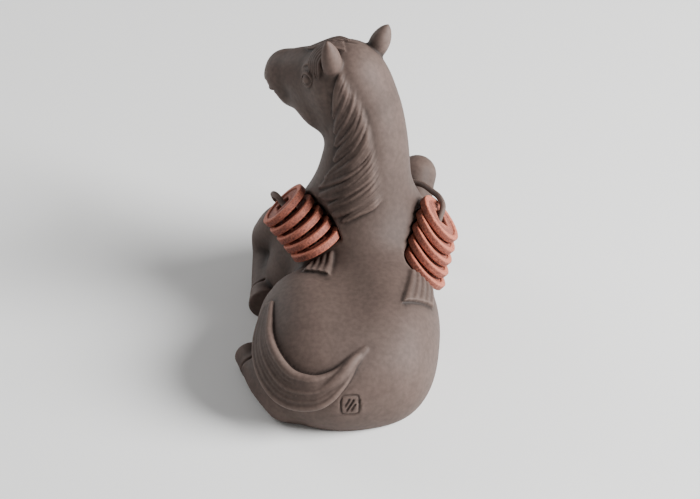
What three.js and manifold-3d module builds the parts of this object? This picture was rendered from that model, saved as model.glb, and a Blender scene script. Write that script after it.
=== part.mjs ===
// A clay tea pet: a horse lying down with its head turned to its left, and a string of five red
// cash coins laid over each side of its back. Lengths are in millimetres. +Y is the way the body
// points, +X is the horse's right, +Z is up, and the origin is on the flat underside.
import * as THREE from "three";
import { mergeVertices } from "three/addons/utils/BufferGeometryUtils.js";
import Module from "manifold-3d";

// Driving dimensions of the coins, the cord they are threaded on, and the tassels at its ends
const COIN_RADIUS = 8.7;
const COIN_THICKNESS = 2.4;
const COIN_RIM = 2.0;
const COIN_FACE_SUNK = 0.5;
const COIN_HOLE = 5;
const COIN_SIDES = 18;
const COINS_IN_A_STRING = 5;
const CORD_RADIUS = 1;
const CORD_SIDES = 8;
const CORD_STEPS = 36;

// Clearance between each coin and the clay, and the hollow bed worked into the clay for it
const COIN_GAP = 0.35;
const BED_SPARE = 0.7;
const BED_HEIGHT = 11;

// The head: where the skull's centre is, how far it turns to the left and tips down, in degrees
const SKULL = [5.5, 37, 78.6];
const HEAD_TURN = 46;
const HEAD_TIP = 8;

// Locks of hair and grooves: how many, and how thick
const TAIL_FLUTES = 5;
const MANE_LOCKS = 12;
const MANE_LOCK_RADII = [0.9, 1.7, 1.9, 0.8];

// The underside is flat at z = 0, and the skin of the clay is found on a grid of cubes this wide
const GRID = 1.1;
const GRID_LOW = [-38, -52, -4];
const GRID_HIGH = [42, 68, 98];
const CLAY_BELOW = -2;

// How many triangles the horse keeps, how much more care its head and its hair get than its body,
// and a small cost on long edges, which keeps the triangles in shape where the clay is flat
const HORSE_TRIANGLES = 5800;
const HEAD_CARE = 6;
const NECK_TOP = 66;
const HAIR_CARE = 8;
const HAIR_REACH = 0.4;
const LENGTH_COST = 2e-4;

// The least cosine of the turn that a fold may give a triangle
const LEAST_TURN = 0.3;

const CLAY = { color: 0x6b5d56, roughness: 0.55, metalness: 0 };
const RED_CLAY = { color: 0xa8604c, roughness: 0.7, metalness: 0 };

const radians = THREE.MathUtils.degToRad;
const vector = (p) => new THREE.Vector3(...p);

// Masses of clay. Each is a distance function, negative inside, with a ball that holds it all, so
// that points far outside the ball can pass it by.

// An egg, turned about x, then y, then z.
function egg(centre, radii, turn = [0, 0, 0]) {
  const order = new THREE.Euler(radians(turn[0]), radians(turn[1]), radians(turn[2]), "ZYX");
  const e = new THREE.Matrix4().makeRotationFromEuler(order).elements;
  const distance = (x, y, z) => {
    const dx = x - centre[0];
    const dy = y - centre[1];
    const dz = z - centre[2];
    const a = (e[0] * dx + e[1] * dy + e[2] * dz) / radii[0];
    const b = (e[4] * dx + e[5] * dy + e[6] * dz) / radii[1];
    const c = (e[8] * dx + e[9] * dy + e[10] * dz) / radii[2];
    const reach = Math.hypot(a, b, c);
    const slope = Math.hypot(a / radii[0], b / radii[1], c / radii[2]);
    return slope < 1e-9 ? -Math.min(...radii) : (reach * (reach - 1)) / slope;
  };
  return { distance, centre, reach: Math.max(...radii) };
}

// A smooth line through points of any number of coordinates, with the same steps on every span.
function smoothLine(points, steps) {
  const line = [];
  for (let span = 0; span < points.length - 1; span++) {
    const before = points[Math.max(span - 1, 0)];
    const from = points[span];
    const to = points[span + 1];
    const after = points[Math.min(span + 2, points.length - 1)];
    for (let step = 0; step < steps; step++) {
      const t = step / steps;
      line.push(from.map((value, i) => {
        const pull = to[i] - before[i];
        const bend = 2 * before[i] - 5 * value + 4 * to[i] - after[i];
        const twist = 3 * value - before[i] - 3 * to[i] + after[i];
        return value + 0.5 * t * (pull + t * (bend + t * twist));
      }));
    }
  }
  line.push(points.at(-1));
  return line;
}

// A limb: balls of changing radius along a smooth line through points [x, y, z, radius].
function limb(points, steps = 6) {
  const line = smoothLine(points, steps);
  const spans = [];
  const box = new THREE.Box3();
  for (let i = 0; i < line.length - 1; i++) {
    const [x, y, z, radius] = line[i];
    const [nextX, nextY, nextZ, nextRadius] = line[i + 1];
    const length = Math.hypot(nextX - x, nextY - y, nextZ - z);
    const way = [(nextX - x) / length, (nextY - y) / length, (nextZ - z) / length];
    const taper = (radius - nextRadius) / length;
    spans.push({ x, y, z, radius, length, way, taper, lean: taper / Math.sqrt(1 - taper * taper) });
  }
  for (const [x, y, z, radius] of line) {
    box.expandByPoint(new THREE.Vector3(x - radius, y - radius, z - radius));
    box.expandByPoint(new THREE.Vector3(x + radius, y + radius, z + radius));
  }
  const distance = (x, y, z) => {
    let least = Infinity;
    for (const span of spans) {
      const dx = x - span.x;
      const dy = y - span.y;
      const dz = z - span.z;
      const along = dx * span.way[0] + dy * span.way[1] + dz * span.way[2];
      const across = Math.sqrt(Math.max(dx * dx + dy * dy + dz * dz - along * along, 0));
      const nearest = Math.min(Math.max(along - across * span.lean, 0), span.length);
      const gap = Math.hypot(across, along - nearest) - span.radius + span.taper * nearest;
      if (gap < least) least = gap;
    }
    return least;
  };
  const centre = box.getCenter(new THREE.Vector3());
  return { distance, centre: centre.toArray(), reach: box.getSize(new THREE.Vector3()).length() / 2 };
}

// A hoof: a cone cut off square, with its edges rounded.
function hoof(coronet, sole, coronetRadius, soleRadius, rounding = 0.8) {
  const way = vector(sole).sub(vector(coronet));
  const length = way.length();
  way.divideScalar(length);
  const flare = (soleRadius - coronetRadius) / length;
  const distance = (x, y, z) => {
    const dx = x - coronet[0];
    const dy = y - coronet[1];
    const dz = z - coronet[2];
    const along = dx * way.x + dy * way.y + dz * way.z;
    const across = Math.sqrt(Math.max(dx * dx + dy * dy + dz * dz - along * along, 0));
    const side = (across - coronetRadius - flare * along) / Math.hypot(1, flare) + rounding;
    const end = Math.abs(along - length / 2) - length / 2 + rounding;
    return Math.min(Math.max(side, end), 0) + Math.hypot(Math.max(side, 0), Math.max(end, 0)) - rounding;
  };
  return { distance, centre: mix(coronet, sole, 0.5), reach: Math.hypot(length / 2, soleRadius) };
}

// A round plate, its thickness measured upwards from the centre.
function plate(centre, normal, radius, below, above) {
  const distance = (x, y, z) => {
    const dx = x - centre[0];
    const dy = y - centre[1];
    const dz = z - centre[2];
    const along = dx * normal[0] + dy * normal[1] + dz * normal[2];
    const across = Math.sqrt(Math.max(dx * dx + dy * dy + dz * dz - along * along, 0));
    const end = Math.max(along - above, -along - below);
    const side = across - radius;
    return Math.min(Math.max(side, end), 0) + Math.hypot(Math.max(side, 0), Math.max(end, 0));
  };
  return { distance, centre, reach: Math.hypot(radius, Math.max(above, below)) };
}

// Masses worked into one. Each is joined to those before it, or cut from them, with a soft seam.
const join = (mass, seam) => ({ mass, seam, takesAway: false });
const cut = (mass, seam) => ({ mass, seam, takesAway: true });

function worked(steps) {
  const distance = (x, y, z) => {
    let depth = Infinity;
    for (const { mass, seam, takesAway } of steps) {
      const [cx, cy, cz] = mass.centre;
      const outside = Math.hypot(x - cx, y - cy, z - cz) - mass.reach;
      if (takesAway ? -outside < depth - seam : outside > depth + seam) continue;
      const own = mass.distance(x, y, z);
      const near = takesAway ? -own : own;
      const soft = (Math.max(seam - Math.abs(depth - near), 0) / seam) ** 2 * seam * 0.25;
      depth = takesAway ? Math.max(depth, near) + soft : Math.min(depth, near) - soft;
    }
    return depth;
  };
  return { distance };
}

// A mass worked in a frame of its own, set in place.
function placed(mass, frame, centre, reach) {
  const e = frame.clone().invert().elements;
  const distance = (x, y, z) =>
    mass.distance(
      e[0] * x + e[4] * y + e[8] * z + e[12],
      e[1] * x + e[5] * y + e[9] * z + e[13],
      e[2] * x + e[6] * y + e[10] * z + e[14],
    );
  return { distance, centre: vector(centre).applyMatrix4(frame).toArray(), reach };
}

// The way out of a mass at a point, and the point at a given height over its surface.
function outward(mass, [x, y, z]) {
  const d = 0.2;
  return new THREE.Vector3(
    mass.distance(x + d, y, z) - mass.distance(x - d, y, z),
    mass.distance(x, y + d, z) - mass.distance(x, y - d, z),
    mass.distance(x, y, z + d) - mass.distance(x, y, z - d),
  ).normalize();
}

function laidOn(mass, point, height) {
  let at = vector(point);
  for (let turn = 0; turn < 12; turn++) {
    const gap = mass.distance(at.x, at.y, at.z) - height;
    at = at.addScaledVector(outward(mass, at.toArray()), -gap * 0.9);
  }
  return at.toArray();
}

// A strand laid on a surface, sunk by a part of its own radius.
function strandOn(mass, points, sunk, steps = 4) {
  const line = points.map(([x, y, z, radius]) => {
    return [...laidOn(mass, [x, y, z], radius * (1 - 2 * sunk)), radius];
  });
  return limb(line, steps);
}

const mix = (a, b, t) => a.map((value, i) => value + (b[i] - value) * t);
const bothSides = (make) => [make(1), make(-1)];

// The head's frame: x runs forward along the nose, y to the horse's left, z out of the forehead.
function headFrame() {
  const turn = radians(HEAD_TURN);
  const tip = radians(HEAD_TIP);
  const left = new THREE.Vector3(-Math.cos(turn), -Math.sin(turn), 0);
  const forward = new THREE.Vector3(-Math.sin(turn), Math.cos(turn), 0);
  forward.multiplyScalar(Math.cos(tip)).setZ(-Math.sin(tip));
  const up = new THREE.Vector3().crossVectors(forward, left);
  return new THREE.Matrix4().makeBasis(forward, left, up).setPosition(...SKULL);
}

// Ears, in the head's frame: root, tip, the way the hollow of the ear looks, and the thickness
// along the ear
const EARS = [
  {
    root: [-1.2, 8, 4.6], tip: [-2.9, 11.2, 17.8], hollow: [2.5, 0.8, 0],
    radii: [1.4, 3.1, 3.1, 2, 0.7],
  },
  {
    root: [-3.4, -7.8, 4.8], tip: [-8, -12, 15.2], hollow: [2.6, -0.8, 0.4],
    radii: [1.6, 3.1, 3.2, 2.1, 0.7],
  },
];

function ear({ root, tip, hollow, radii }) {
  const along = (t, radius, aside = 0) => {
    return [...mix(root, tip, t).map((value, i) => value + hollow[i] * aside), radius];
  };
  const shell = [0, 0.32, 0.58, 0.82, 1].map((t, i) => along(t, radii[i]));
  return [
    join(limb(shell), 0.6),
    cut(limb([along(0.22, 0.7, 0.9), along(0.45, 1.9, 1), along(0.7, 1.6, 1), along(0.95, 0.4, 0.9)]), 0.4),
  ];
}

// The forelock, in the head's frame: the near and far edges of the lock over the left eye, and of the
// lock between the eyes
const FORELOCK = [
  {
    near: [[0.4, 0.4, 13, 0.8], [5.4, 2.4, 13.1, 1.3], [8.6, 5.6, 11, 1.4], [7, 10, 6.4, 0.7]],
    far: [[-3, 3.6, 12.6, 0.8], [1, 4.6, 13, 1.3], [3, 8, 10.4, 1.4], [2, 10.8, 5, 0.7]],
    strands: 3,
  },
  {
    near: [[0, -2.6, 12.6, 0.8], [5, -3.2, 11, 1.3], [9.4, -3, 9.6, 1.3], [15, 0, 7.8, 0.5]],
    far: [[0.6, 0.8, 12.6, 0.8], [5.6, 1.8, 11, 1.3], [10, 2, 9.6, 1.3], [16.4, 0.4, 7.6, 0.5]],
    strands: 3,
  },
];

function head() {
  const bare = worked([
    join(egg([0, 0, 0], [12, 11, 11.5]), 1),
    // nose, muzzle and chin
    join(limb([[4, 0, 1, 9.4], [12, 0, 0.4, 8.6], [20, 0, -1, 7.8], [26.5, 0, -2.6, 7]]), 5),
    join(egg([26.8, 0, -3.4], [6, 6.3, 7.5], [0, 8, 0]), 3),
    join(egg([23.5, 0, -10.2], [5.4, 4, 3], [0, -10, 0]), 3),
    // jowls, jaw and brows
    ...bothSides((side) => join(egg([8, 5 * side, -8], [10.5, 4.6, 10], [0, -20, 0]), 5)),
    ...bothSides((side) =>
      join(limb([[12, 4 * side, -11, 3.6], [18, 3 * side, -9.6, 3.4], [24, 1.6 * side, -9.4, 3]]), 4)),
    ...bothSides((side) => join(egg([6.4, 7.2 * side, 5.2], [4.6, 2.2, 2.2]), 2.5)),
    // eyes
    ...bothSides((side) => cut(egg([7.4, 10.8 * side, 2.8], [3.4, 2.2, 2.4], [0, 10, 0]), 0.8)),
    ...bothSides((side) => join(egg([7.4, 7.9 * side, 2.7], [2.6, 2.2, 2.1], [0, 10, 0]), 0.3)),
    // nostrils and mouth
    ...bothSides((side) => cut(egg([31.4, 3.9 * side, -1.6], [1.3, 1.7, 1.2], [0, 30, 0]), 0.8)),
    cut(egg([29.5, 0, -8], [5, 7.5, 0.6], [0, 8, 0]), 0.6),
  ]);
  const steps = [join({ ...bare, centre: [10, 0, -2], reach: 30 }, 1), ...EARS.flatMap(ear)];
  for (const { near, far, strands } of FORELOCK) {
    for (let strand = 0; strand < strands; strand++) {
      const t = strand / (strands - 1);
      const hair = near.map((point, i) => mix(point, far[i], t));
      steps.push(join(strandOn(bare, hair, 0.46), 0.4));
    }
  }
  return placed(worked(steps), headFrame(), [10, 0, 0], 34);
}

// The bare body, without hair, creases and cord.
function body() {
  const steps = [
    join(egg([9, 6, 16], [20.5, 40, 18.5], [0, 9, 0]), 1),
    // haunches and rump
    join(egg([-10.5, -12, 14], [17.5, 25, 20], [0, 6, 4]), 8),
    join(egg([13.2, -14, 12], [15.3, 25, 19.5], [0, 6, -4]), 8),
    join(egg([-2, -26.5, 11], [24, 18.5, 17.5], [0, 6, 0]), 10),
    // shoulders and chest
    join(egg([-4, 28, 21], [13, 17, 18], [0, 9, 0]), 8),
    join(egg([20, 28, 18], [12, 17, 19], [0, 9, 0]), 8),
    join(egg([8, 38, 22], [16, 14, 20]), 8),
    // neck
    join(limb([
      [9, 27, 30, 18], [9.5, 29, 44, 15.6], [10.8, 32, 60, 13], [9.2, 35, 71, 12.2], [5.5, 37, 78.6, 11.2],
    ]), 12),
    join(head(), 5),
    // left hind leg, folded flat with its hoof forward
    join(limb([[-20, -31, 6, 7], [-26, -22, 5, 5], [-29, -13, 4.4, 4.2]]), 4),
    join(hoof([-28.8, -14, 4.2], [-30, -6, 4.6], 4.2, 5.2), 1),
    // right hind leg, tucked close under the haunch
    join(limb([[17, -27, 5, 5], [22.5, -17, 4.4, 4.4], [24.2, -6, 4.2, 4.2]]), 3),
    join(hoof([24.2, -7, 4.2], [24.4, 1, 4.6], 4.2, 4.9), 1),
    // left foreleg, folded back under the elbow
    join(limb([[-6, 30, 25, 10], [-15.5, 38.5, 23, 8], [-20.5, 45, 15, 6.4]]), 5),
    join(egg([-15.5, 28, 11], [7.5, 11, 12], [0, 12, 0]), 5),
    join(limb([[-20.5, 46, 10, 6.2], [-22.6, 36, 7, 5], [-23.6, 25, 5.6, 4.8]]), 3),
    join(hoof([-23.6, 26, 5.4], [-24, 18, 5.6], 4.8, 5.6), 1),
    // right foreleg, raised at the knee with its hoof on the ground
    join(limb([[18, 30, 18, 10], [27, 44, 27, 6.8], [30, 52, 32, 6]]), 4),
    join(limb([[30, 53, 32, 6], [29.5, 56, 20, 4.5], [28.5, 58, 9, 4.4]]), 2),
    join(hoof([28.6, 58, 9], [28.2, 59, -1], 4.6, 6), 1),
  ];
  return { ...worked(steps), centre: [2, 2, 40], reach: 90 };
}

// Where the coins lie: rear and front places of each string, with the way their faces look.
const STRINGS = [
  {
    name: "left",
    rear: { centre: [-7.4, 12.8, 32.8], normal: [-0.476, 0.272, 0.836] },
    front: { centre: [-16.4, 28.2, 38], normal: [-0.674, 0.234, 0.7] },
  },
  {
    name: "right",
    rear: { centre: [27.2, 6.8, 25.7], normal: [0.73, 0.07, 0.68] },
    front: { centre: [33.2, 19.3, 35.7], normal: [0.77, -0.03, 0.63] },
  },
];

function coinPlaces({ rear, front }) {
  const places = [];
  for (let index = 0; index < COINS_IN_A_STRING; index++) {
    const t = index / (COINS_IN_A_STRING - 1);
    places.push({
      centre: mix(rear.centre, front.centre, t),
      normal: vector(mix(rear.normal, front.normal, t)).normalize().toArray(),
      along: vector(front.centre).sub(vector(rear.centre)).normalize(),
    });
  }
  return places;
}

// The middle of the tail and half its width, from its root to its tip on the left haunch, and how
// thick the smooth ridge is that fades into the flutes
const TAIL = [
  [4.2, -35.4, 27.4, 0.5], [0.2, -38.2, 25, 1.4], [-4.6, -41.2, 21.2, 2.9], [-11, -41.6, 17.6, 4.9],
  [-18.4, -38.2, 17, 5.8], [-22.8, -31.5, 19.4, 5.4], [-24.4, -23, 22, 4.6], [-24.2, -16.8, 24.8, 3.4],
  [-23.2, -11, 27.4, 1.6],
];
const TAIL_RIDGE = [0.7, 1.8, 2.6, 2.6, 1.8];
const FLUTES_START = 8;

function tail(bare) {
  const line = smoothLine(TAIL, 2);
  const ridge = TAIL_RIDGE.map((radius, i) => [...TAIL[i].slice(0, 3), radius]);
  const flutes = [join(strandOn(bare, ridge, 0.64), 1)];
  for (let flute = 0; flute < TAIL_FLUTES; flute++) {
    const share = (2 * flute) / (TAIL_FLUTES - 1) - 1;
    const points = line.map((point, i) => {
      const before = vector(line[Math.max(i - 1, 0)].slice(0, 3));
      const after = vector(line[Math.min(i + 1, line.length - 1)].slice(0, 3));
      const at = laidOn(bare, point.slice(0, 3), 0);
      const across = after.sub(before).cross(outward(bare, at)).normalize();
      const aside = vector(at).addScaledVector(across, share * point[3] * 0.82);
      const radius = 0.4 + point[3] * 0.2;
      const risen = Math.min(i / FLUTES_START, 1);
      return [...laidOn(bare, aside.toArray(), radius * (1.7 * risen - 0.8)), radius];
    });
    flutes.push(join(limb(points, 2), 0.22));
  }
  return flutes;
}

// The mane, from the ear down: where its locks leave the crest, two places on their way down the
// left side of the neck, and their tips
const MANE_GUIDES = [
  [
    [1.7, 25.7, 91.5], [3.9, 26.6, 86.3], [6.5, 24.8, 81.9], [8.9, 23.4, 76.1], [11, 21.7, 69.8],
    [12.4, 19.6, 63.6], [13.5, 17.6, 57.4], [14.4, 16.1, 52.3], [14.6, 15, 48.5],
  ],
  [
    [1, 26, 86.4], [3.4, 24.9, 81.2], [6.1, 23.6, 76.5], [8.2, 22.1, 70.7], [9.3, 19.9, 64.4],
    [9.7, 17.7, 58.7], [9.9, 15.7, 53.2], [10.4, 14.2, 48.9], [11.3, 13.3, 46],
  ],
  [
    [0.1, 26, 80.8], [1.5, 25, 74.8], [3.6, 23.4, 69.1], [4.7, 21.1, 63.5], [3.5, 18.9, 57.1],
    [2.7, 17.2, 52.3], [2.9, 15.3, 47.8], [4, 13.8, 44.9], [6.5, 12.7, 43.6],
  ],
  [
    [-0.5, 26.2, 75], [-0.2, 26.5, 68.2], [-0.1, 24.9, 61.8], [-0.9, 22.6, 56.2], [-4.4, 23.6, 48.5],
    [-6.1, 23.6, 44.1], [-4.2, 18.5, 42.3], [-1.9, 15, 40.7], [2.3, 12.6, 40.9],
  ],
];

function mane(bare) {
  const guides = MANE_GUIDES.map((guide) => smoothLine(guide, MANE_LOCKS));
  const locks = [];
  for (let lock = 0; lock < MANE_LOCKS; lock++) {
    const at = Math.round(((lock + 0.5) / MANE_LOCKS) * (guides[0].length - 1));
    const hair = guides.map((guide, i) => [...guide[at], MANE_LOCK_RADII[i]]);
    locks.push(join(strandOn(bare, hair, 0.62, 6), 0.6));
  }
  return locks;
}

// The tassels: the knot of the cord that each hides, the edge under the coins, the edge of the hem,
// and how many folds of what thickness it hangs in
const TASSELS = [
  {
    knot: [-3.6, 6.4, 30.4], top: [[-9.6, 6.6, 31.2], [-3.2, 6.2, 33.6]],
    hem: [[-11, -1.4, 32.2], [-5.6, -4.4, 33.4]], folds: 4, radius: 1.5,
  },
  {
    knot: [24.2, 1.6, 22], top: [[22, -2, 30], [27, 0.5, 23.6]],
    hem: [[18.4, -18.6, 31], [25.4, -15, 26]], folds: 5, radius: 1.7,
  },
];

function tassels(bare) {
  const steps = [];
  for (const { top, hem, folds, radius } of TASSELS) {
    for (let fold = 0; fold < folds; fold++) {
      const from = mix(...top, fold / (folds - 1));
      const to = mix(...hem, fold / (folds - 1));
      const strand = [[0, 0.7], [0.4, 0.9], [1.1, 1.05]].map(([t, swell]) => {
        return [...mix(from, to, t), radius * swell];
      });
      steps.push(join(strandOn(bare, strand, 0.62), 0.5));
    }
  }
  return [...steps, ...TASSELS.map((tassel) => cut(pastHem(tassel), 0.25))];
}

// What lies past a tassel's hem, which is cut straight.
function pastHem({ top, hem }) {
  const middle = mix(...hem, 0.5);
  const along = vector(hem[1]).sub(vector(hem[0])).normalize();
  const past = vector(middle).sub(vector(mix(...top, 0.5)));
  past.addScaledVector(along, -past.dot(along)).normalize();
  return plate(middle, past.toArray(), 8, 0, 5);
}

// Soft creases in the skin.
function creases(bare) {
  const grooves = [
    // in front of the left and right haunches
    [[-25, 3, 20, 1.2], [-19, -0.5, 28, 1.6], [-12.5, -3, 33, 1.4], [-6, -7, 34.5, 0.7]],
    [[29, 2, 14, 0.8], [28, -4, 22, 1.2], [25, -9, 28, 0.8]],
    // behind the left elbow
    [[-17, 22, 24, 0.9], [-21, 27, 17, 1.2], [-22, 31, 11, 0.9]],
  ];
  return grooves.map((points) => cut(strandOn(bare, points, 0.4), 2));
}

// The cord comes out of one tassel, runs through that string's coins, passes round the chest and
// runs back through the other string's coins to the other tassel.
const CHEST = [
  [-17.5, 43, 31], [-10, 50, 29], [-1, 53, 27], [8, 54, 26], [16, 51.5, 28], [23, 48, 31],
];
const LEFT_BEND = [-19.6, 36.6, 37];
const RIGHT_BENDS = [[29.4, 41, 35.6], [33, 34, 36.6], [34.4, 28, 38]];

function cordLine(clay) {
  const [left, right] = STRINGS.map((string) => {
    const centres = coinPlaces(string).map((place) => place.centre);
    const step = centres[1].map((value, i) => value - centres[0][i]);
    const before = centres[0].map((value, i) => value - step[i]);
    const after = centres.at(-1).map((value, i) => value + step[i]);
    return [before, ...centres, after];
  });
  const chest = CHEST.map((point) => laidOn(clay, point, CORD_RADIUS * 0.5));
  return [TASSELS[0].knot, ...left, LEFT_BEND, ...chest, ...RIGHT_BENDS, ...right.reverse(), TASSELS[1].knot];
}

// All the clay under a level
const ground = (level) => ({ distance: (x, y, z) => z - level, centre: [0, 0, level - 1000], reach: 1000 });

// The whole horse, and how much care each of its points is worth when it is thinned.
function clayHorse() {
  const bare = body();
  const beds = STRINGS.flatMap((string) => coinPlaces(string).map(({ centre, normal }) =>
    cut(plate(centre, normal, COIN_RADIUS + BED_SPARE, COIN_THICKNESS / 2 + BED_SPARE, BED_HEIGHT), 1)));
  const hair = worked([...tassels(bare), ...tail(bare), ...mane(bare)]);
  const clay = worked([
    join(bare, 1),
    ...creases(bare),
    join({ ...hair, centre: bare.centre, reach: bare.reach }, 0.6),
    ...beds,
    cut(ground(CLAY_BELOW), 1),
  ]);
  const care = ([x, y, z]) => {
    if (z > NECK_TOP) return HEAD_CARE;
    return Math.abs(hair.distance(x, y, z)) < HAIR_REACH ? HAIR_CARE : 1;
  };
  return { ...clay, care };
}

// The skin of a mass. A grid of cubes is laid through it, each cube is parted into six
// tetrahedra round its long diagonal, and a triangle or two closes each one that the skin passes.
const TETRAHEDRA = [[0, 1, 3, 7], [0, 3, 2, 7], [0, 2, 6, 7], [0, 6, 4, 7], [0, 4, 5, 7], [0, 5, 1, 7]];

// Whether it takes an odd number of swaps to put these in order.
function isOdd(order) {
  const swaps = order.map((value, i) => order.slice(i + 1).filter((later) => later < value).length);
  return swaps.reduce((sum, value) => sum + value, 0) % 2 === 1;
}

// The depth of every grid point. A block of points far from the skin takes the depth at its middle.
function gridDepths(mass, count, place, index) {
  const depths = new Float32Array(count[0] * count[1] * count[2]);
  const block = 4;
  const farAway = 2 * block * GRID;
  for (let k = 0; k < count[2]; k += block) {
    for (let j = 0; j < count[1]; j += block) {
      for (let i = 0; i < count[0]; i += block) {
        const middle = mass.distance(...place(i + block / 2, j + block / 2, k + block / 2));
        const isFar = Math.abs(middle) > farAway;
        for (let c = k; c < Math.min(k + block, count[2]); c++) {
          for (let b = j; b < Math.min(j + block, count[1]); b++) {
            for (let a = i; a < Math.min(i + block, count[0]); a++) {
              depths[index(a, b, c)] = isFar ? middle : mass.distance(...place(a, b, c)) || 1e-6;
            }
          }
        }
      }
    }
  }
  return depths;
}

function skin(mass) {
  const count = GRID_LOW.map((low, i) => Math.ceil((GRID_HIGH[i] - low) / GRID) + 1);
  const index = (i, j, k) => i + count[0] * (j + count[1] * k);
  const place = (...cell) => cell.map((value, axis) => GRID_LOW[axis] + value * GRID);
  const depths = gridDepths(mass, count, place, index);
  const corners = [...Array(8).keys()].map((corner) => [corner & 1, (corner >> 1) & 1, corner >> 2]);
  const vertices = [];
  const triangles = [];
  const vertexOn = new Map();
  const crossing = (a, b) => {
    const [low, high] = a.id < b.id ? [a, b] : [b, a];
    const key = low.id * depths.length + high.id;
    if (!vertexOn.has(key)) {
      vertexOn.set(key, vertices.length);
      vertices.push(mix(place(...low.cell), place(...high.cell), low.depth / (low.depth - high.depth)));
    }
    return vertexOn.get(key);
  };
  for (let k = 0; k < count[2] - 1; k++) {
    for (let j = 0; j < count[1] - 1; j++) {
      for (let i = 0; i < count[0] - 1; i++) {
        const ids = corners.map(([a, b, c]) => index(i + a, j + b, k + c));
        const insideCount = ids.filter((id) => depths[id] < 0).length;
        if (insideCount === 0 || insideCount === 8) continue;
        const cube = corners.map(([a, b, c], n) => {
          return { id: ids[n], cell: [i + a, j + b, k + c], depth: depths[ids[n]] };
        });
        for (const tetrahedron of TETRAHEDRA) {
          const inside = [0, 1, 2, 3].filter((n) => cube[tetrahedron[n]].depth < 0);
          const outside = [0, 1, 2, 3].filter((n) => !inside.includes(n));
          if (!inside.length || !outside.length) continue;
          const order = inside.length === 3 ? [...outside, ...inside] : [...inside, ...outside];
          if (isOdd(order)) order.push(...order.splice(2).reverse());
          const [p, q, r, s] = order.map((n) => cube[tetrahedron[n]]);
          if (inside.length === 1) triangles.push([crossing(p, q), crossing(p, r), crossing(p, s)]);
          if (inside.length === 3) triangles.push([crossing(p, q), crossing(p, s), crossing(p, r)]);
          if (inside.length === 2) {
            const ring = [crossing(p, r), crossing(p, s), crossing(q, s), crossing(q, r)];
            triangles.push([ring[0], ring[1], ring[2]], [ring[0], ring[2], ring[3]]);
          }
        }
      }
    }
  }
  return { vertices, triangles };
}

// Fewer, larger triangles. Each vertex keeps the sum of the planes round it, and edges are folded
// to the point nearest those planes, the cheapest first, until few enough triangles are left.
const PLANE_SUMS = [[0, 0], [0, 1], [0, 2], [0, 3], [1, 1], [1, 2], [1, 3], [2, 2], [2, 3], [3, 3]];

function triangleNormal(a, b, c) {
  return vector(b).sub(vector(a)).cross(vector(c).sub(vector(a)));
}

function planeError(planes, [x, y, z]) {
  const at = [x, y, z, 1];
  return PLANE_SUMS.reduce((sum, [i, j], n) => sum + (i === j ? 1 : 2) * planes[n] * at[i] * at[j], 0);
}

function bestPoint(planes, from, to) {
  const [xx, xy, xz, xw, yy, yz, yw, zz, zw] = planes;
  const matrix = new THREE.Matrix3(xx, xy, xz, xy, yy, yz, xz, yz, zz);
  const middle = mix(from, to, 0.5);
  if (Math.abs(matrix.determinant()) > 1e-4 * (xx + yy + zz) ** 3) {
    const point = new THREE.Vector3(-xw, -yw, -zw).applyMatrix3(matrix.invert());
    if (point.distanceTo(vector(middle)) < vector(from).distanceTo(vector(to))) return point.toArray();
  }
  return [middle, from, to].reduce((best, point) =>
    planeError(planes, point) < planeError(planes, best) ? point : best);
}

// A heap of folds, with the cheapest on top.
function pushFold(heap, fold) {
  let at = heap.push(fold) - 1;
  while (at > 0) {
    const above = (at - 1) >> 1;
    if (heap[above].cost <= fold.cost) break;
    heap[at] = heap[above];
    at = above;
  }
  heap[at] = fold;
}

function popFold(heap) {
  const top = heap[0];
  const fold = heap.pop();
  let at = 0;
  while (heap.length > 0) {
    let below = 2 * at + 1;
    if (below + 1 < heap.length && heap[below + 1].cost < heap[below].cost) below += 1;
    if (below >= heap.length || heap[below].cost >= fold.cost) break;
    heap[at] = heap[below];
    at = below;
  }
  if (heap.length > 0) heap[at] = fold;
  return top;
}

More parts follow.
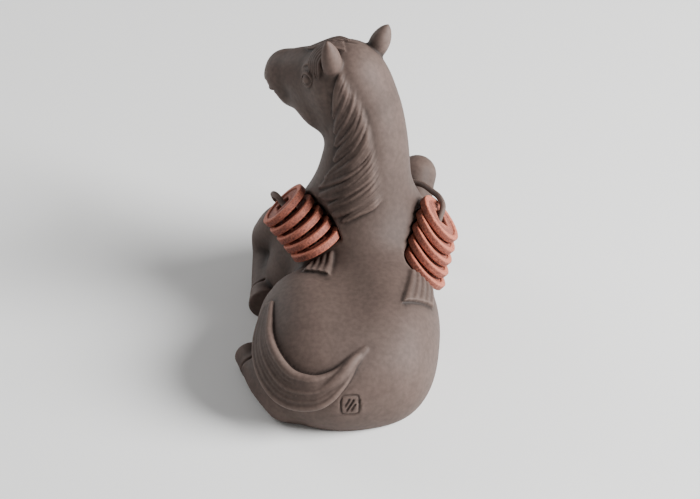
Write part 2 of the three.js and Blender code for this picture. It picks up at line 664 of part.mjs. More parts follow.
function thinned({ vertices, triangles }, wanted, careAt) {
  const places = vertices.slice();
  const planes = vertices.map(() => new Float64Array(PLANE_SUMS.length));
  const around = vertices.map(() => new Set());
  const age = new Int32Array(vertices.length);
  const left = new Map();
  triangles.forEach((triangle, t) => {
    const [a, b, c] = triangle.map((v) => places[v]);
    const normal = triangleNormal(a, b, c);
    const area = normal.length();
    left.set(t, triangle);
    triangle.forEach((v) => around[v].add(t));
    if (area < 1e-9) return;
    normal.divideScalar(area);
    const plane = [...normal.toArray(), -normal.dot(vector(a))];
    const care = area * careAt(a);
    const sums = PLANE_SUMS.map(([i, j]) => care * plane[i] * plane[j]);
    for (const v of triangle) {
      sums.forEach((sum, n) => { planes[v][n] += sum; });
    }
  });
  const heap = [];
  const offer = (a, b) => {
    const sum = planes[a].map((value, i) => value + planes[b][i]);
    const point = bestPoint(sum, places[a], places[b]);
    const length = Math.hypot(...mix(places[a], places[b], 0.5).map((value, i) => value - places[a][i]));
    const cost = planeError(sum, point) + LENGTH_COST * length ** 4;
    pushFold(heap, { a, b, ageA: age[a], ageB: age[b], sum, point, cost });
  };
  for (const [a, b, c] of triangles) {
    if (a < b) offer(a, b);
    if (b < c) offer(b, c);
    if (c < a) offer(c, a);
  }
  while (left.size > wanted && heap.length > 0) {
    const { a, b, ageA, ageB, sum, point } = popFold(heap);
    if (age[a] !== ageA || age[b] !== ageB) continue;
    const ringOf = (v) => new Set([...around[v]].flatMap((t) => left.get(t)));
    const [ringA, ringB] = [ringOf(a), ringOf(b)];
    if ([...ringA].filter((v) => ringB.has(v)).length !== 4) continue;
    const kept = [...around[a], ...around[b]].filter((t) => !(around[a].has(t) && around[b].has(t)));
    const turnsOver = kept.some((t) => {
      const before = triangleNormal(...left.get(t).map((v) => places[v]));
      const after = triangleNormal(...left.get(t).map((v) => (v === a || v === b ? point : places[v])));
      return before.dot(after) < LEAST_TURN * before.length() * after.length() || after.length() < 1e-4;
    });
    if (turnsOver) continue;
    for (const t of around[b]) {
      const triangle = left.get(t);
      if (triangle.includes(a)) {
        triangle.filter((v) => v !== b).forEach((v) => around[v].delete(t));
        left.delete(t);
      } else {
        left.set(t, triangle.map((v) => (v === b ? a : v)));
        around[a].add(t);
      }
    }
    places[a] = point;
    planes[a] = sum;
    age[a] += 1;
    age[b] = -1;
    [...ringOf(a)].filter((v) => v !== a).forEach((v) => offer(a, v));
  }
  const used = [...new Set([...left.values()].flat())];
  const renumbered = new Map(used.map((v, n) => [v, n]));
  return {
    vertices: used.map((v) => places[v]),
    triangles: [...left.values()].map((triangle) => triangle.map((v) => renumbered.get(v))),
  };
}

// Solids, joined and cut as closed meshes.
const wasm = await Module();
wasm.setup();

function solidOf(vertices, triangles) {
  return new wasm.Manifold(new wasm.Mesh({
    numProp: 3,
    vertProperties: new Float32Array(vertices.flat()),
    triVerts: new Uint32Array(triangles.flat()),
  }));
}

function solidFrom(geometry) {
  const bare = geometry.clone();
  const extras = Object.keys(bare.attributes).filter((name) => name !== "position");
  extras.forEach((name) => bare.deleteAttribute(name));
  const merged = mergeVertices(bare, 1e-4);
  return new wasm.Manifold(new wasm.Mesh({
    numProp: 3,
    vertProperties: new Float32Array(merged.attributes.position.array),
    triVerts: new Uint32Array(merged.index.array),
  }));
}

function geometryOf(solid) {
  const { vertProperties, triVerts } = solid.getMesh();
  const geometry = new THREE.BufferGeometry();
  geometry.setAttribute("position", new THREE.BufferAttribute(vertProperties, 3));
  geometry.setIndex(new THREE.BufferAttribute(triVerts, 1));
  const faceted = geometry.toNonIndexed();
  faceted.computeVertexNormals();
  return faceted;
}

// A coin stands on the Y axis: a round plate with a raised rim on both faces and a square hole.
function coinGeometry() {
  const half = COIN_THICKNESS / 2;
  const face = half - COIN_FACE_SUNK;
  const inner = COIN_RADIUS - COIN_RIM;
  const upper = [[0, face], [inner, face], [inner + COIN_FACE_SUNK, half], [COIN_RADIUS, half]];
  const lower = upper.map(([radius, height]) => [radius, -height]).reverse();
  const ring = [...upper, ...lower].map((p) => new THREE.Vector2(...p)).reverse();
  const plateSolid = solidFrom(new THREE.LatheGeometry(ring, COIN_SIDES));
  const holeSolid = solidFrom(new THREE.BoxGeometry(COIN_HOLE, COIN_THICKNESS * 2, COIN_HOLE));
  return geometryOf(plateSolid.subtract(holeSolid));
}

// Turns the Y axis to a coin's normal, with a side of its hole along the string.
function coinTurn({ normal, along }) {
  const up = vector(normal);
  const across = new THREE.Vector3().crossVectors(along, up).normalize();
  const forward = new THREE.Vector3().crossVectors(across, up);
  return new THREE.Quaternion().setFromRotationMatrix(new THREE.Matrix4().makeBasis(across, up, forward));
}

// The room a coin needs in the clay, as a plain round plate with clearance all over.
function coinRoom(place) {
  const radius = (COIN_RADIUS + COIN_GAP) / Math.cos(Math.PI / COIN_SIDES);
  const room = new THREE.CylinderGeometry(radius, radius, COIN_THICKNESS + 2 * COIN_GAP, COIN_SIDES);
  room.applyQuaternion(coinTurn(place));
  room.translate(...place.centre);
  return solidFrom(room);
}

function cordSolid(clay) {
  const curve = new THREE.CatmullRomCurve3(cordLine(clay).map(vector));
  const section = new THREE.Shape();
  section.absarc(0, 0, CORD_RADIUS, 0, 2 * Math.PI);
  return solidFrom(new THREE.ExtrudeGeometry(section, {
    extrudePath: curve,
    steps: CORD_STEPS,
    curveSegments: CORD_SIDES / 2,
  }));
}

function horseGeometry() {
  const clay = clayHorse();
  const { vertices, triangles } = thinned(skin(clay), HORSE_TRIANGLES, clay.care);
  let solid = solidOf(vertices, triangles);
  const below = new THREE.BoxGeometry(200, 200, 20);
  below.translate(0, 0, -10);
  solid = solid.subtract(solidFrom(below));
  for (const place of STRINGS.flatMap(coinPlaces)) solid = solid.subtract(coinRoom(place));
  return geometryOf(solid.add(cordSolid(clay)));
}

function named(name, geometry, finish) {
  const mesh = new THREE.Mesh(geometry, new THREE.MeshStandardMaterial(finish));
  mesh.name = name;
  return mesh;
}

function coins() {
  const group = new THREE.Group();
  for (const string of STRINGS) {
    coinPlaces(string).forEach((place, index) => {
      const coin = named(`coin_${string.name}_${index + 1}`, coinGeometry(), RED_CLAY);
      coin.position.set(...place.centre);
      coin.quaternion.copy(coinTurn(place));
      group.add(coin);
    });
  }
  return group;
}

const teaPet = new THREE.Group();
teaPet.add(named("horse", horseGeometry(), CLAY), coins());

export default teaPet;
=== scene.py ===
# A clay tea pet: a resting horse of dark clay with two strings of red clay cash coins, dressed around
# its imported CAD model. Shapes are worked in millimetres and become metres when a mesh is made. +Y is
# the way the body points, +X is the horse's right, +Z is up, and the underside is at z = 0.
import math

import bmesh
import bpy
import numpy as np
from mathutils import Euler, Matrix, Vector


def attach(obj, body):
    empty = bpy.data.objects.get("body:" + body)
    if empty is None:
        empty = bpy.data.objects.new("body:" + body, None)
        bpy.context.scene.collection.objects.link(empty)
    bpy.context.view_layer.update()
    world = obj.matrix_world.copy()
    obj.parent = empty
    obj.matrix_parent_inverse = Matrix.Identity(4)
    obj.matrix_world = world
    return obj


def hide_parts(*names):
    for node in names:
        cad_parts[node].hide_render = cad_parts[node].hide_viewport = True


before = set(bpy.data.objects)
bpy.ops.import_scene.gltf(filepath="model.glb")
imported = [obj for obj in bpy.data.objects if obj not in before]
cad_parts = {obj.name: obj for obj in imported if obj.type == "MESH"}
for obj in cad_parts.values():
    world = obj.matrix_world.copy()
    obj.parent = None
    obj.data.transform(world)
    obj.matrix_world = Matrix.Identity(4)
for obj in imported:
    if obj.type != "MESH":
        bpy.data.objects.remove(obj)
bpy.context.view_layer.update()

MM = 0.001

# The grid on which the clay is worked, the side of a block of it in cells, how near the skin its
# depths have to be right, the depth that stands for far outside, and the triangles kept at the end
GRID = 0.37
GRID_LOW = (-38.0, -50.0, -2.3)
GRID_HIGH = (42.0, 66.0, 98.6)
BLOCK = 16
BAND = 1.5
FAR = 40.0
HORSE_TRIANGLES = 190000

# How deep a hollow is that gets the darkest painted shade, and how far a point's surroundings reach, in edges
DEEPEST = 0.16
SMOOTHINGS = 7

# Driving dimensions, as in the part
COIN_RADIUS = 8.7
COIN_THICKNESS = 2.4
COIN_RIM = 2.0
COIN_FACE_SUNK = 0.5
COIN_HOLE = 5.0
COINS_IN_A_STRING = 5
CORD_RADIUS = 1.0
BED_SPARE = 0.35
BED_HEIGHT = 11.0
SKULL = (5.5, 37.0, 78.6)
HEAD_TURN = 46.0
HEAD_TIP = 8.0


# Masses of clay. Each measures its distance, negative inside, at the points of a grid or of a list,
# and has a box that holds it. A grid's axes are three arrays that broadcast to a block of points. The
# margin is how far outside the box the distances still have to be right.
def shape_of(axes):
    return np.broadcast_shapes(*(axis.shape for axis in axes))


def crop(axes, low, high, margin):
    """The part of a block that a box reaches, and its axes, or None where it reaches no point."""
    if axes[0].ndim == 1:
        return Ellipsis, axes
    window = []
    for axis, start, end in zip(axes, low, high):
        first, last = np.searchsorted(axis.ravel(), (start - margin, end + margin))
        if last <= first:
            return None, None
        window.append(slice(first, last))
    x, y, z = axes
    return tuple(window), (x[window[0]], y[:, window[1]], z[:, :, window[2]])


class Mass:
    """A shape: what measures it, and the corners of the box that holds it."""

    def __init__(self, measure, low, high):
        self.measure = measure
        self.low = np.asarray(low, float)
        self.high = np.asarray(high, float)


def turned(turn):
    """The axes after a turn about x, then y, then z, in degrees."""
    return np.array(Euler(np.radians(turn), "XYZ").to_matrix())


def egg(centre, radii, turn=(0, 0, 0), frame_axes=None):
    """An egg, turned within the axes given, or within the object's own."""
    turn_axes = turned(turn) if frame_axes is None else frame_axes @ turned(turn)
    centre = np.asarray(centre, float)
    reach_out = np.sqrt(((turn_axes * np.asarray(radii)) ** 2).sum(1))

    def measure(axes, margin):
        offsets = [axis - value for axis, value in zip(axes, centre)]
        reach = slope = 0
        for own_axis, radius in zip(turn_axes.T, radii):
            own = sum(offset * value for offset, value in zip(offsets, own_axis)) / radius
            reach = reach + own * own
            slope = slope + (own / radius) ** 2
        reach = np.sqrt(reach)
        return reach * (reach - 1) / np.maximum(np.sqrt(slope), 1e-9)

    return Mass(measure, centre - reach_out, centre + reach_out)


def smooth_line(points, steps):
    """A smooth line through points of any number of coordinates, with the same steps on every span."""
    points = np.asarray(points, float)
    line = []
    for span in range(len(points) - 1):
        before, start = points[max(span - 1, 0)], points[span]
        end, after = points[span + 1], points[min(span + 2, len(points) - 1)]
        for step in range(steps):
            t = step / steps
            pull = end - before
            bend = 2 * before - 5 * start + 4 * end - after
            twist = 3 * start - before - 3 * end + after
            line.append(start + 0.5 * t * (pull + t * (bend + t * twist)))
    line.append(points[-1])
    return np.array(line)


def limb(points, steps=6):
    """Balls of changing radius along a smooth line through points (x, y, z, radius)."""
    line = smooth_line(points, steps)
    start, end = line[:-1], line[1:]
    way = end[:, :3] - start[:, :3]
    length = np.linalg.norm(way, axis=1)
    way = way / length[:, None]
    taper = (start[:, 3] - end[:, 3]) / length
    lean = taper / np.sqrt(1 - taper ** 2)
    spans = np.column_stack([start, way, length, taper, lean])
    lows = np.minimum(start[:, :3] - start[:, 3:], end[:, :3] - end[:, 3:])
    highs = np.maximum(start[:, :3] + start[:, 3:], end[:, :3] + end[:, 3:])

    def span_distance(span, axes):
        sx, sy, sz, radius, wx, wy, wz, span_length, span_taper, span_lean = span
        dx, dy, dz = axes[0] - sx, axes[1] - sy, axes[2] - sz
        along = dx * wx + dy * wy + dz * wz
        across = np.sqrt(np.maximum(dx * dx + dy * dy + dz * dz - along * along, 0))
        nearest = np.minimum(np.maximum(along - across * span_lean, 0), span_length)
        return np.sqrt(across ** 2 + (along - nearest) ** 2) - radius + span_taper * nearest

    def measure(axes, margin):
        if axes[0].ndim == 1:
            return span_distance(spans.T[:, :, None], [axis[None, :] for axis in axes]).min(0)
        depth = np.full(shape_of(axes), FAR)
        for span, low, high in zip(spans, lows, highs):
            window, inner = crop(axes, low, high, margin)
            if window is not None:
                depth[window] = np.minimum(depth[window], span_distance(span, inner))
        return depth

    return Mass(measure, lows.min(0), highs.max(0))


def around(centre, way, axes):
    """How far points are along an axis from its start, and how far out from it."""
    dx, dy, dz = (axis - value for axis, value in zip(axes, centre))
    along = dx * way[0] + dy * way[1] + dz * way[2]
    across = np.sqrt(np.maximum(dx * dx + dy * dy + dz * dz - along * along, 0))
    return along, across


def hoof(coronet, sole, coronet_radius, sole_radius, rounding=0.8):
    """A cone cut off square at both ends, with its edges rounded."""
    coronet, sole = np.asarray(coronet, float), np.asarray(sole, float)
    length = np.linalg.norm(sole - coronet)
    way = (sole - coronet) / length
    flare = (sole_radius - coronet_radius) / length

    def measure(axes, margin):
        along, across = around(coronet, way, axes)
        side = (across - coronet_radius - flare * along) / math.hypot(1, flare) + rounding
        end = np.abs(along - length / 2) - length / 2 + rounding
        outside = np.hypot(np.maximum(side, 0), np.maximum(end, 0))
        return np.minimum(np.maximum(side, end), 0) + outside - rounding

    reach = math.hypot(length / 2, sole_radius)
    middle = (coronet + sole) / 2
    return Mass(measure, middle - reach, middle + reach)


def plate(centre, normal, radius, below, above):
    """A round plate that reaches below and above its centre along its normal."""
    centre = np.asarray(centre, float)

    def measure(axes, margin):
        along, across = around(centre, normal, axes)
        end = np.maximum(along - above, -along - below)
        side = across - radius
        return np.minimum(np.maximum(side, end), 0) + np.hypot(np.maximum(side, 0), np.maximum(end, 0))

    reach = math.hypot(radius, max(above, below))
    return Mass(measure, centre - reach, centre + reach)


def ring(centre, way, radius, thickness):
    """A thin ring about an axis, for the groove round a hoof."""
    centre = np.asarray(centre, float)
    way = np.asarray(way, float) / np.linalg.norm(way)

    def measure(axes, margin):
        along, across = around(centre, way, axes)
        return np.hypot(across - radius, along) - thickness

    reach = radius + thickness
    return Mass(measure, centre - reach, centre + reach)


def ground(level, width=200):
    """Everything below a level."""
    def measure(axes, margin):
        return axes[2] - level + 0 * (axes[0] + axes[1])

    return Mass(measure, (-width, -width, -width), (width, width, level))


# Masses worked into one. Each step joins a mass to those before it, or cuts it from them, and the
# edge between them is filled or eased over the width of the seam.
REACH_IN_SEAMS = 1.25


def join(mass, seam):
    return mass, seam, False


def cut(mass, seam):
    return mass, seam, True


def worked(steps):
    """One mass, made by the steps in their order."""
    joined = [mass for mass, _, takes_away in steps if not takes_away]
    # a mass is measured as far off as its own seam or a later one can reach
    reaches = [REACH_IN_SEAMS * max(seam for _, seam, _ in steps[number:]) for number in range(len(steps))]

    def measure(axes, margin):
        depth = np.full(shape_of(axes), FAR)
        for (mass, seam, takes_away), reach in zip(steps, reaches):
            window, inner = crop(axes, mass.low, mass.high, reach + margin)
            if window is None:
                continue
            own = mass.measure(inner, reach + margin)
            before = depth[window]
            near = -own if takes_away else own
            soft = np.maximum(seam - np.abs(before - near), 0) ** 2 * (0.25 / seam)
            if takes_away:
                depth[window] = np.maximum(before, near) + soft
            else:
                depth[window] = np.minimum(before, near) - soft
        return depth

    return Mass(measure, np.min([mass.low for mass in joined], 0), np.max([mass.high for mass in joined], 0))


def measured(mass, points):
    """How far each point of a list is from a mass."""
    return mass.measure(tuple(np.ascontiguousarray(axis) for axis in points.T), FAR)


def outward(mass, points, step=0.2):
    """The way out of a mass at each point."""
    slope = np.empty_like(points)
    for axis in range(3):
        aside = np.zeros(3)
        aside[axis] = step
        slope[:, axis] = measured(mass, points + aside) - measured(mass, points - aside)
    return slope / np.linalg.norm(slope, axis=1)[:, None]


def laid_on(mass, points, heights, turns=8, approach=0.95):
    """Each point, moved to a height over the surface of a mass."""
    at = np.array(points, float)
    for _ in range(turns):
        gap = measured(mass, at) - heights
        at = at - outward(mass, at) * (gap * approach)[:, None]
    return at


def strands_on(mass, lines, sunk, steps=4, root_sunk=0):
    """Strands laid on a surface, each sunk by a share of its own thickness, and its root by more.

    A strand that is sunk by less than nothing lies over the surface and only its seam reaches it.
    """
    points = np.array([point for line in lines for point in line], float)
    heights = points[:, 3] * (1 - 2 * sunk)
    heights[np.cumsum([0, *(len(line) for line in lines[:-1])])] -= root_sunk
    points[:, :3] = laid_on(mass, points[:, :3], heights)
    limbs = []
    first = 0
    for line in lines:
        limbs.append(limb(points[first:first + len(line)], steps))
        first += len(line)
    return limbs


def unit(values):
    values = np.asarray(values, float)
    return values / np.linalg.norm(values)


def mix(a, b, t):
    return np.asarray(a, float) + (np.asarray(b, float) - np.asarray(a, float)) * t


# The head's frame: x runs forward along the nose, y to the horse's left, z out of the forehead.
def head_axes():
    turn, tip = math.radians(HEAD_TURN), math.radians(HEAD_TIP)
    left = np.array([-math.cos(turn), -math.sin(turn), 0])
    forward = np.array([-math.sin(turn) * math.cos(tip), math.cos(turn) * math.cos(tip), -math.sin(tip)])
    return np.column_stack([forward, left, np.cross(forward, left)])


HEAD_AXES = head_axes()


def from_head(point):
    return HEAD_AXES @ np.asarray(point, float) + np.asarray(SKULL)


def head_egg(centre, radii, turn=(0, 0, 0)):
    return egg(from_head(centre), radii, turn, HEAD_AXES)


def in_place(line):
    """A line of the head's frame, with its radii, in the object's frame."""
    return [[*from_head(point[:3]), point[3]] for point in line]


def head_limb(points, steps=6):
    return limb(in_place(points), steps)


# The left and the right ear, in the head's frame: root, tip, the way the hollow looks, and the radii
# along the ear. Then where along the ear those radii are, and the hollow: how far along, its radius,
# and how far aside.
EARS = (
    {"root": (-1.2, 8, 4.6), "tip": (-2.9, 11.2, 17.8), "hollow": (2.5, 0.8, 0),
     "radii": (1.4, 3.1, 3.1, 2, 0.6)},
    {"root": (-3.4, -7.8, 4.8), "tip": (-8, -12, 15.2), "hollow": (2.6, -0.8, 0.4),
     "radii": (1.6, 3.1, 3.2, 2.1, 0.6)},
)
EAR_SHARES = (0, 0.32, 0.58, 0.82, 1)
EAR_HOLLOW = ((0.22, 0.7, 0.9), (0.45, 1.9, 1), (0.7, 1.6, 1), (0.95, 0.4, 0.9))


def ear(root, tip, hollow, radii):
    """The steps that join an ear and hollow it out."""
    def along(t, radius, aside=0):
        return [*(mix(root, tip, t) + np.asarray(hollow) * aside), radius]

    shell = head_limb([along(t, radius) for t, radius in zip(EAR_SHARES, radii)])
    dug = head_limb([along(*place) for place in EAR_HOLLOW])
    return [join(shell, 1.2), cut(dug, 0.4)]


def mirrored(points, side):
    """Points of the head's frame as they are for the left side, 1, or moved to the right side, -1."""
    return [(x, y * side, *rest) for x, y, *rest in points]


# The left and the right side of the head, as signs of y
SIDES = (1, -1)

# The left eye in the head's frame, its socket and its ball, and how high over the skin their middles lie
EYE = (7.4, 9, 2.7)
EYE_TURN = (0, 10, 0)
SOCKET_RADII = (3.4, 2.1, 2.5)
SOCKET_HEIGHT = 1.1
EYEBALL_RADII = (2.6, 2.2, 2.1)
EYEBALL_HEIGHT = -0.9

# Lines worked over the left side of the head and repeated on the right, in its frame: x, y, z, radius
UPPER_LID = (
    (4.1, 9, 2.2, 0.3), (5.2, 9.7, 4.3, 0.5), (7.3, 9.8, 5.1, 0.56), (9.4, 9.2, 4.3, 0.5),
    (11, 8.1, 2.2, 0.25),
)
LOWER_LID = (
    (4.1, 9, 2.1, 0.3), (5.5, 9.8, 0.8, 0.42), (7.4, 9.8, 0.3, 0.45), (9.3, 9.2, 0.9, 0.4),
    (11, 8.1, 2.1, 0.25),
)
LID_FOLD = ((2.6, 8.8, 4, 0.25), (4.4, 9, 6.2, 0.45), (7.4, 8.8, 6.8, 0.5), (10.6, 7.8, 5.4, 0.25))
JOWL_EDGE = ((-2, 9.6, 0, 0.6), (-1.6, 9.4, -6, 1.3), (1, 7.4, -12.6, 0.8))
MOUTH = ((33, 0, -8, 0.35), (31, 4.6, -8.4, 0.45), (28.6, 6.2, -7.6, 0.4), (26.4, 6.8, -6.6, 0.15))
LIP = ((32, 2, -6.8, 0.3), (30.4, 4.8, -6.9, 0.5), (28, 6.2, -6.4, 0.2))
WING = ((30.4, 2.4, -0.2, 0.3), (32.2, 3.2, -0.6, 0.5), (32.6, 4.6, -2.2, 0.5), (31.4, 5.2, -3.6, 0.3))

# The forelock: the near and far edges of the lock over the left eye, and of the lock between the
# eyes, with how many strands lie between them
LEFT_FORELOCK = (
    ((0.4, 0.4, 13, 0.3), (5.4, 2.4, 13.1, 0.7), (8.3, 4.3, 11.6, 0.8), (8.6, 6.6, 10.3, 0.8),
     (7.8, 8.7, 7.8, 0.64), (6.8, 10.2, 6, 0.22)),
    ((-3, 3.6, 12.6, 0.3), (1, 4.6, 13, 0.7), (2.3, 7.2, 11.8, 0.8), (3, 8.7, 9.1, 0.8), (2.4, 10.2, 7, 0.64),
     (2, 10.8, 4.6, 0.22)),
    6,
)
MIDDLE_FORELOCK = (
    ((0, -2.6, 12.6, 0.3), (5, -3.2, 11, 0.74), (9.4, -3, 9.6, 0.74), (12.6, -1.6, 8.6, 0.55),
     (15, 0, 7.8, 0.2)),
    ((0.6, 0.8, 12.6, 0.3), (5.6, 1.8, 11, 0.74), (10, 2, 9.6, 0.74), (14, 1.4, 8.4, 0.55),
     (16.4, 0.4, 7.6, 0.2)),
    5,
)

# The parting at the crown
CROWN_LINE = ((5, 3.2, 12.8, 0.3), (3.6, 1.2, 13.1, 0.55), (1.7, -0.2, 13.2, 0.6), (-0.7, -1.3, 12.9, 0.5),
              (-2.6, -2, 12.4, 0.2))


def head():
    """The head without its eyes, hair and ears."""
    return worked([
        join(head_egg((0, 0, 0), (12, 11, 11.5)), 1),
        # nose, muzzle and chin
        join(head_limb([(4, 0, 1, 9.4), (12, 0, 0.4, 8.6), (20, 0, -1, 7.8), (26.5, 0, -2.6, 7)]), 5),
        join(head_egg((26.8, 0, -3.4), (6, 6.3, 7.5), (0, 8, 0)), 3),
        join(head_egg((23.5, 0, -10.2), (5.4, 4, 3), (0, -10, 0)), 3),
        # jowls, jaw, brows and nostrils
        *(join(head_egg((8, 5 * side, -8), (10.5, 4.6, 10), (0, -20, 0)), 5) for side in SIDES),
        *(join(head_limb([(12, 4 * side, -11, 3.6), (18, 3 * side, -9.6, 3.4), (24, 1.6 * side, -9.4, 3)]), 4)
          for side in SIDES),
        *(join(head_egg((6.4, 7.2 * side, 5.2), (4.6, 2.2, 2.2)), 2.5) for side in SIDES),
        *(cut(head_egg((31.6, 3.6 * side, -1.6), (1.2, 1.6, 1.2), (0, 30, 0)), 0.8) for side in SIDES),
    ])


def eyes(bare):
    """A socket and an eyeball on each side."""
    steps = []
    for side in SIDES:
        place = [from_head(point) for point in mirrored([EYE], side)]
        socket = laid_on(bare, place, SOCKET_HEIGHT)[0]
        ball = laid_on(bare, place, EYEBALL_HEIGHT)[0]
        steps.append(cut(egg(socket, SOCKET_RADII, EYE_TURN, HEAD_AXES), 0.8))
        steps.append(join(egg(ball, EYEBALL_RADII, EYE_TURN, HEAD_AXES), 0.2))
    return steps


def face(bare):
    """The body with its eyes, the lines of the face and the forelock."""
    eyed = worked([join(bare, 1), *eyes(bare)])

    def drawn(lines, sunk, sides=SIDES):
        placed = [in_place(mirrored(line, side)) for line in lines for side in sides]
        return strands_on(eyed, placed, sunk, 5)

    locks = []
    for near, far, count in (LEFT_FORELOCK, MIDDLE_FORELOCK):
        lock = [[mix(a, b, strand / (count - 1)) for a, b in zip(near, far)] for strand in range(count)]
        locks.append(join(worked([join(strand, 0.1) for strand in drawn(lock, 0.3, (1,))]), 0.3))
    haired = worked([
        join(eyed, 1),
        *(join(strand, 0.2) for strand in drawn((UPPER_LID, LOWER_LID), 0.2)),
        *(join(strand, 0.6) for strand in drawn((LIP, WING), 0.5)),
        *(cut(strand, 0.4) for strand in drawn((LID_FOLD, MOUTH), 0.5)),
        *(cut(strand, 2) for strand in drawn((JOWL_EDGE,), -0.4)),
        *locks,
    ])
    crown = strands_on(haired, [in_place(CROWN_LINE)], 0.5)
    return worked([join(haired, 1), cut(crown[0], 0.4)])


# Hooves: coronet, sole, and the radius at each of them
HOOVES = (
    ((-28.8, -14, 4.2), (-30, -6, 4.6), 4.2, 5.2),
    ((24.2, -7, 4.2), (24.4, 1, 4.6), 4.2, 4.9),
    ((-23.6, 26, 5.4), (-24, 18, 5.6), 4.8, 5.6),
    ((28.6, 58, 9), (28.2, 59, -1), 4.6, 6),
)

# The groove round the top of a hoof: how far down it is, how far out its middle lies, and its radius
CORONET = 0.12
CORONET_OUT = 0.3
CORONET_RADIUS = 0.45


def coronets():
    """The steps that cut a groove round the top of each hoof."""
    grooves = []
    for coronet, sole, radius, sole_radius in HOOVES:
        way = np.subtract(sole, coronet)
        out = radius + (sole_radius - radius) * CORONET + CORONET_OUT
        grooves.append(cut(ring(mix(coronet, sole, CORONET), way, out, CORONET_RADIUS), 0.4))
    return grooves


def body():
    """The bare body, without eyes, ears, hair, creases and cord."""
    hind_left, hind_right, fore_left, fore_right = (join(hoof(*each), 1) for each in HOOVES)
    neck = [(9, 27, 30, 18), (9.5, 29, 44, 15.6), (10.8, 32, 60, 13), (9.2, 35, 71, 12.2)]
    neck.append((*SKULL, 11.2))
    return worked([
        join(egg((9, 6, 16), (20.5, 40, 18.5), (0, 9, 0)), 1),
        # haunches and rump
        join(egg((-10.5, -12, 14), (17.5, 25, 20), (0, 6, 4)), 8),
        join(egg((13.2, -14, 12), (15.3, 25, 19.5), (0, 6, -4)), 8),
        join(egg((-2, -26.5, 11), (24, 18.5, 17.5), (0, 6, 0)), 10),
        # shoulders and chest
        join(egg((-4, 28, 21), (13, 17, 18), (0, 9, 0)), 8),
        join(egg((20, 28, 18), (12, 17, 19), (0, 9, 0)), 8),
        join(egg((8, 38, 22), (16, 14, 20)), 8),
        join(limb(neck), 12),
        join(head(), 5),
        # left hind leg, folded flat with its hoof forward
        join(limb([(-20, -31, 6, 7), (-26, -22, 5, 5), (-29, -13, 4.4, 4.2)]), 4),
        hind_left,
        # right hind leg, tucked close under the haunch
        join(limb([(17, -27, 5, 5), (22.5, -17, 4.4, 4.4), (24.2, -6, 4.2, 4.2)]), 3),
        hind_right,
        # left foreleg, folded back under the elbow
        join(limb([(-6, 30, 25, 10), (-15.5, 38.5, 23, 8), (-20.5, 45, 15, 6.4)]), 5),
        join(egg((-15.5, 28, 11), (7.5, 11, 12), (0, 12, 0)), 5),
        join(limb([(-20.5, 46, 10, 6.2), (-22.6, 36, 7, 5), (-23.6, 25, 5.6, 4.8)]), 3),
        fore_left,
        # right foreleg, raised at the knee with its hoof on the ground
        join(limb([(18, 30, 18, 10), (27, 44, 27, 6.8), (30, 52, 32, 6)]), 4),
        join(limb([(30, 53, 32, 6), (29.5, 56, 20, 4.5), (28.5, 58, 9, 4.4)]), 2),
        fore_right,
    ])


# Where the coins lie: rear and front places of each string, with the way their faces look
STRINGS = (
    {"name": "left",
     "rear": ((-7.4, 12.8, 32.8), (-0.476, 0.272, 0.836)),
     "front": ((-16.4, 28.2, 38), (-0.674, 0.234, 0.7))},
    {"name": "right",
     "rear": ((27.2, 6.8, 25.7), (0.73, 0.07, 0.68)),
     "front": ((33.2, 19.3, 35.7), (0.77, -0.03, 0.63))},
)


def coin_places(string):
    """Each coin's centre, the way its face looks, and the way the string runs."""
    (rear, rear_normal), (front, front_normal) = string["rear"], string["front"]
    along = unit(np.subtract(front, rear))
    shares = np.linspace(0, 1, COINS_IN_A_STRING)
    return [(mix(rear, front, t), unit(mix(rear_normal, front_normal, t)), along) for t in shares]


# The middle of the tail and half its width, from its root to its tip on the left haunch, and the
# radii of the smooth ridge at its root
TAIL = (
    (4.2, -35.4, 27.4, 0.5), (0.2, -38.2, 25, 1.4), (-4.6, -41.2, 21.2, 2.9), (-11, -41.6, 17.6, 4.9),
    (-18.4, -38.2, 17, 5.8), (-22.8, -31.5, 19.4, 5.4), (-24.4, -23, 22, 4.6), (-24.2, -16.8, 24.8, 3.4),
    (-23.2, -11, 27.4, 1.6),
)
TAIL_RIDGE = (0.7, 1.8, 2.6, 2.6, 1.8)

# Its flutes: how far each lies to the inner side, and how thick it is, in shares of the half width.
# Then their least radius, how much of the width they fill, the steps they take to rise out of the
# ridge, how far they have risen at the root, and their height over the skin in radii: how much they
# gain as they rise, and how deep they would lie before it.
TAIL_FLUTES = ((-1, 0.24), (-0.62, 0.2), (-0.3, 0.17), (0.02, 0.17), (0.32, 0.15), (0.6, 0.16), (0.92, 0.2))
FLUTE_LEAST = 0.3
FLUTES_SPREAD = 0.82
RISE_STEPS = 9
RISE_AT_ROOT = 0.15
FLUTE_GAIN = 1.7
FLUTE_SUNK = 0.8


def tail(bare):
    """The steps that join the tail: the ridge at its root, and the flutes."""
    line = smooth_line(TAIL, 3)
    at = laid_on(bare, line[:, :3], np.zeros(len(line)))
    across = np.cross(np.gradient(at, axis=0), outward(bare, at))
    across /= np.linalg.norm(across, axis=1)[:, None]
    risen = np.clip(np.arange(len(line)) / RISE_STEPS, RISE_AT_ROOT, 1)
    flutes = []
    for share, thickness in TAIL_FLUTES:
        radius = FLUTE_LEAST + line[:, 3] * thickness
        aside = at + across * (share * line[:, 3:] * FLUTES_SPREAD)
        height = radius * (FLUTE_GAIN * risen - FLUTE_SUNK)
        flute = np.column_stack([laid_on(bare, aside, height), radius])
        flutes.append(join(limb(flute, 2), 0.15))
    ridge = [(*point[:3], radius) for point, radius in zip(TAIL, TAIL_RIDGE)]
    return [join(strands_on(bare, [ridge], 0.64, 6, 0.9)[0], 1.5), *flutes]


